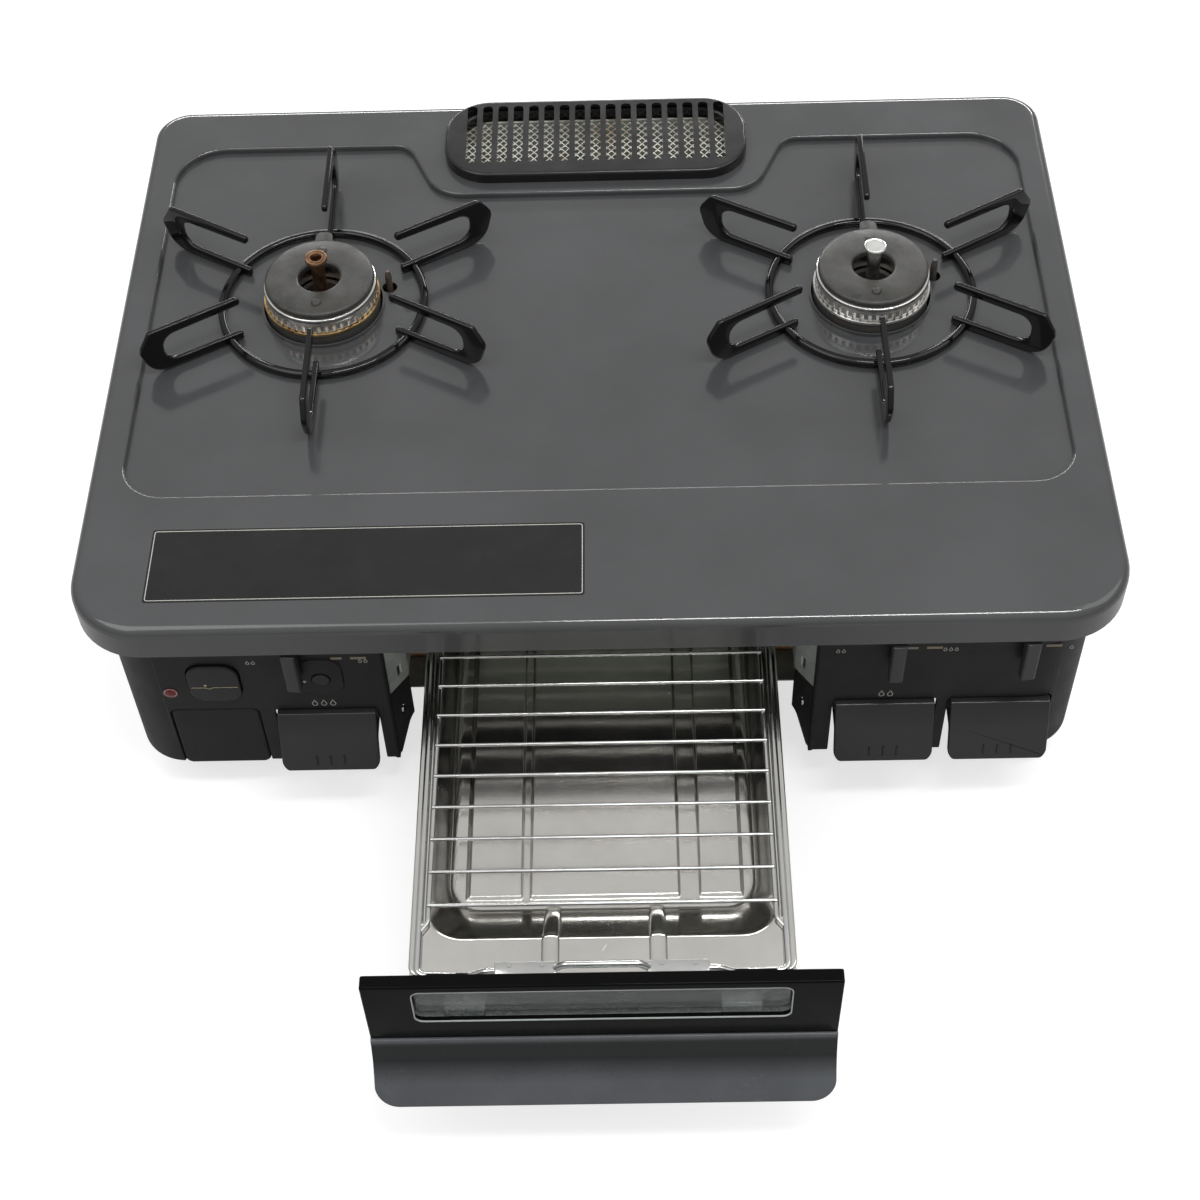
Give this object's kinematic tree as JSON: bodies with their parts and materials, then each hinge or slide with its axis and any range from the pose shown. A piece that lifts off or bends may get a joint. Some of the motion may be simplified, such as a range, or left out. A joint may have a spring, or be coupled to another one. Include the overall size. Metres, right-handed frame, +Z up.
{
  "type": "gas stove with grill",
  "caption": "Table gas stove with covered exhaust, wire-ring pan supports, press buttons with flame levers, and a fish grill on a pull-out drawer with tray and net",
  "frame": {"origin": "middle of the bounding box with the drawer out, on the plane the feet stand on", "axes": "+X to the right seen from the front, +Y to the back, +Z up; the drawer pulls out along -Y"},
  "size_m": [0.56, 0.6322, 0.196],
  "materials": {
    "plate_enamel": "dark grey enamel, fine orange peel, semi-gloss",
    "black_enamel": "black enamel, glossy",
    "case_paint": "dark grey paint",
    "galvanised": "galvanised sheet, light grey-green",
    "stainless": "bright stamped stainless steel",
    "wire": "bright plated wire",
    "mesh": "expanded stainless, heat stained",
    "cast": "cast body, dull black",
    "cap": "black coated cap, mottled by heat",
    "aluminium": "die-cast, matt",
    "brass": "turned brass",
    "copper": "copper tube, heat stained",
    "steel": "turned steel",
    "ceramic": "white insulator",
    "panel": "dark grey moulding",
    "button": "dark glossy moulding",
    "grey_plastic": "grey moulding",
    "lever": "tan grip",
    "inner_plastic": "off-white moulding",
    "glass": "clear window glass",
    "lamp": "red lens",
    "cell": "plain wrapped cell",
    "rubber": "black rubber",
    "handle": "grey moulding, worn",
    "door": "black glossy face"
  },
  "bodies": {
    "casing": {"top_plate": "plate_enamel", "left_side_panel": "case_paint", "right_side_panel": "case_paint", "rear_panel": "galvanised", "bottom_plate": "galvanised", "left_inner_plate": "galvanised", "right_inner_plate": "galvanised", "chamber_left_wall": "galvanised", "chamber_right_wall": "galvanised", "chamber_floor": "galvanised", "chamber_ceiling": "galvanised", "exhaust_duct": "galvanised", "grill_burner": "galvanised", "exhaust_mesh": "mesh", "feet": "rubber", "left_front_panel": "panel", "right_front_panel": "panel", "left_burner_body": "cast", "right_burner_body": "cast", "left_valve": "aluminium", "right_valve": "aluminium", "grill_valve": "aluminium", "gas_pipe": "copper", "left_sensor_spring": "steel", "right_sensor_spring": "steel", "case_screws": "steel", "left_thermocouple": "steel", "right_thermocouple": "steel", "left_electrode": "ceramic", "right_electrode": "ceramic", "gas_inlet": "brass", "igniter_unit": "inner_plastic", "battery_case": "inner_plastic", "battery_lamp": "lamp"},
    "exhaust_lid": {"exhaust_cover": "black_enamel"},
    "left_burner_head": {"left_burner_ring": "aluminium", "left_burner_cap": "cap"},
    "right_burner_head": {"right_burner_ring": "aluminium", "right_burner_cap": "cap"},
    "left_pan_sensor": {"left_sensor": "copper"},
    "right_pan_sensor": {"right_sensor": "steel"},
    "left_pan_support": {"left_trivet": "black_enamel"},
    "right_pan_support": {"right_trivet": "black_enamel"},
    "left_ignition_button": {"left_button": "button"},
    "right_ignition_button": {"right_button": "button"},
    "grill_ignition_button": {"grill_button": "button"},
    "left_flame_lever": {"left_lever": "lever"},
    "right_flame_lever": {"right_lever": "lever"},
    "grill_flame_lever": {"grill_lever": "lever"},
    "mode_key": {"mode_button": "grey_plastic"},
    "high_heat_key": {"high_heat_button": "grey_plastic"},
    "battery_tray": {"battery_drawer": "panel", "batteries": "cell"},
    "grill_drawer": {"door_panel": "door", "door_glass": "glass", "door_handle": "handle", "drawer_carriage": "steel"},
    "tray": {"grill_tray": "stainless"},
    "net": {"grill_net": "wire"}
  },
  "joints": [
    {"name": "exhaust_cover_lift", "type": "slide", "parent": "casing", "child": "exhaust_lid", "axis": [0, 0, 1], "range_m": [0, 0.05]},
    {"name": "left_head_lift", "type": "slide", "parent": "casing", "child": "left_burner_head", "axis": [0, 0, 1], "range_m": [0, 0.05]},
    {"name": "right_head_lift", "type": "slide", "parent": "casing", "child": "right_burner_head", "axis": [0, 0, 1], "range_m": [0, 0.05]},
    {"name": "left_sensor_press", "type": "slide", "parent": "casing", "child": "left_pan_sensor", "axis": [0, 0, -1], "range_m": [0, 0.008], "stiffness_N_per_m": 250, "springref_m": -0.006, "deforming": ["left_sensor_spring"]},
    {"name": "right_sensor_press", "type": "slide", "parent": "casing", "child": "right_pan_sensor", "axis": [0, 0, -1], "range_m": [0, 0.008], "stiffness_N_per_m": 250, "springref_m": -0.006, "deforming": ["right_sensor_spring"]},
    {"name": "left_trivet_lift", "type": "slide", "parent": "casing", "child": "left_pan_support", "axis": [0, 0, 1], "range_m": [0, 0.06]},
    {"name": "right_trivet_lift", "type": "slide", "parent": "casing", "child": "right_pan_support", "axis": [0, 0, 1], "range_m": [0, 0.06]},
    {"name": "left_button_press", "type": "slide", "parent": "casing", "child": "left_ignition_button", "axis": [0, 1, 0], "range_m": [0, 0.008], "stiffness_N_per_m": 600, "springref_m": -0.004},
    {"name": "right_button_press", "type": "slide", "parent": "casing", "child": "right_ignition_button", "axis": [0, 1, 0], "range_m": [0, 0.008], "stiffness_N_per_m": 600, "springref_m": -0.004},
    {"name": "grill_button_press", "type": "slide", "parent": "casing", "child": "grill_ignition_button", "axis": [0, 1, 0], "range_m": [0, 0.008], "stiffness_N_per_m": 600, "springref_m": -0.004},
    {"name": "left_lever_turn", "type": "hinge", "parent": "casing", "child": "left_flame_lever", "pos_m": [-0.152, 0.0006, 0.136], "axis": [0, 0, 1], "range_deg": [-4.1, 17.9]},
    {"name": "right_lever_turn", "type": "hinge", "parent": "casing", "child": "right_flame_lever", "pos_m": [0.1555, 0.0006, 0.136], "axis": [0, 0, 1], "range_deg": [-12.3, 9.7]},
    {"name": "grill_lever_turn", "type": "hinge", "parent": "casing", "child": "grill_flame_lever", "pos_m": [0.2188, 0.0006, 0.136], "axis": [0, 0, 1], "range_deg": [-16.1, 5.9]},
    {"name": "mode_key_press", "type": "slide", "parent": "casing", "child": "mode_key", "axis": [0, 1, 0], "range_m": [0, 0.0025], "stiffness_N_per_m": 800, "springref_m": -0.002},
    {"name": "high_heat_key_press", "type": "slide", "parent": "casing", "child": "high_heat_key", "axis": [0, 1, 0], "range_m": [0, 0.0015], "stiffness_N_per_m": 800, "springref_m": -0.002},
    {"name": "battery_drawer_slide", "type": "slide", "parent": "casing", "child": "battery_tray", "axis": [0, -1, 0], "range_m": [0, 0.12]},
    {"name": "grill_drawer_slide", "type": "slide", "parent": "casing", "child": "grill_drawer", "axis": [0, -1, 0], "range_m": [-0.198, 0]},
    {"name": "tray_lift", "type": "hinge", "parent": "grill_drawer", "child": "tray", "pos_m": [0, -0.0144, 0.105], "axis": [-1, 0, 0], "range_deg": [0, 6]},
    {"name": "net_lift", "type": "hinge", "parent": "tray", "child": "net", "pos_m": [0, -0.0194, 0.108], "axis": [-1, 0, 0], "range_deg": [0, 6]}
  ]
}
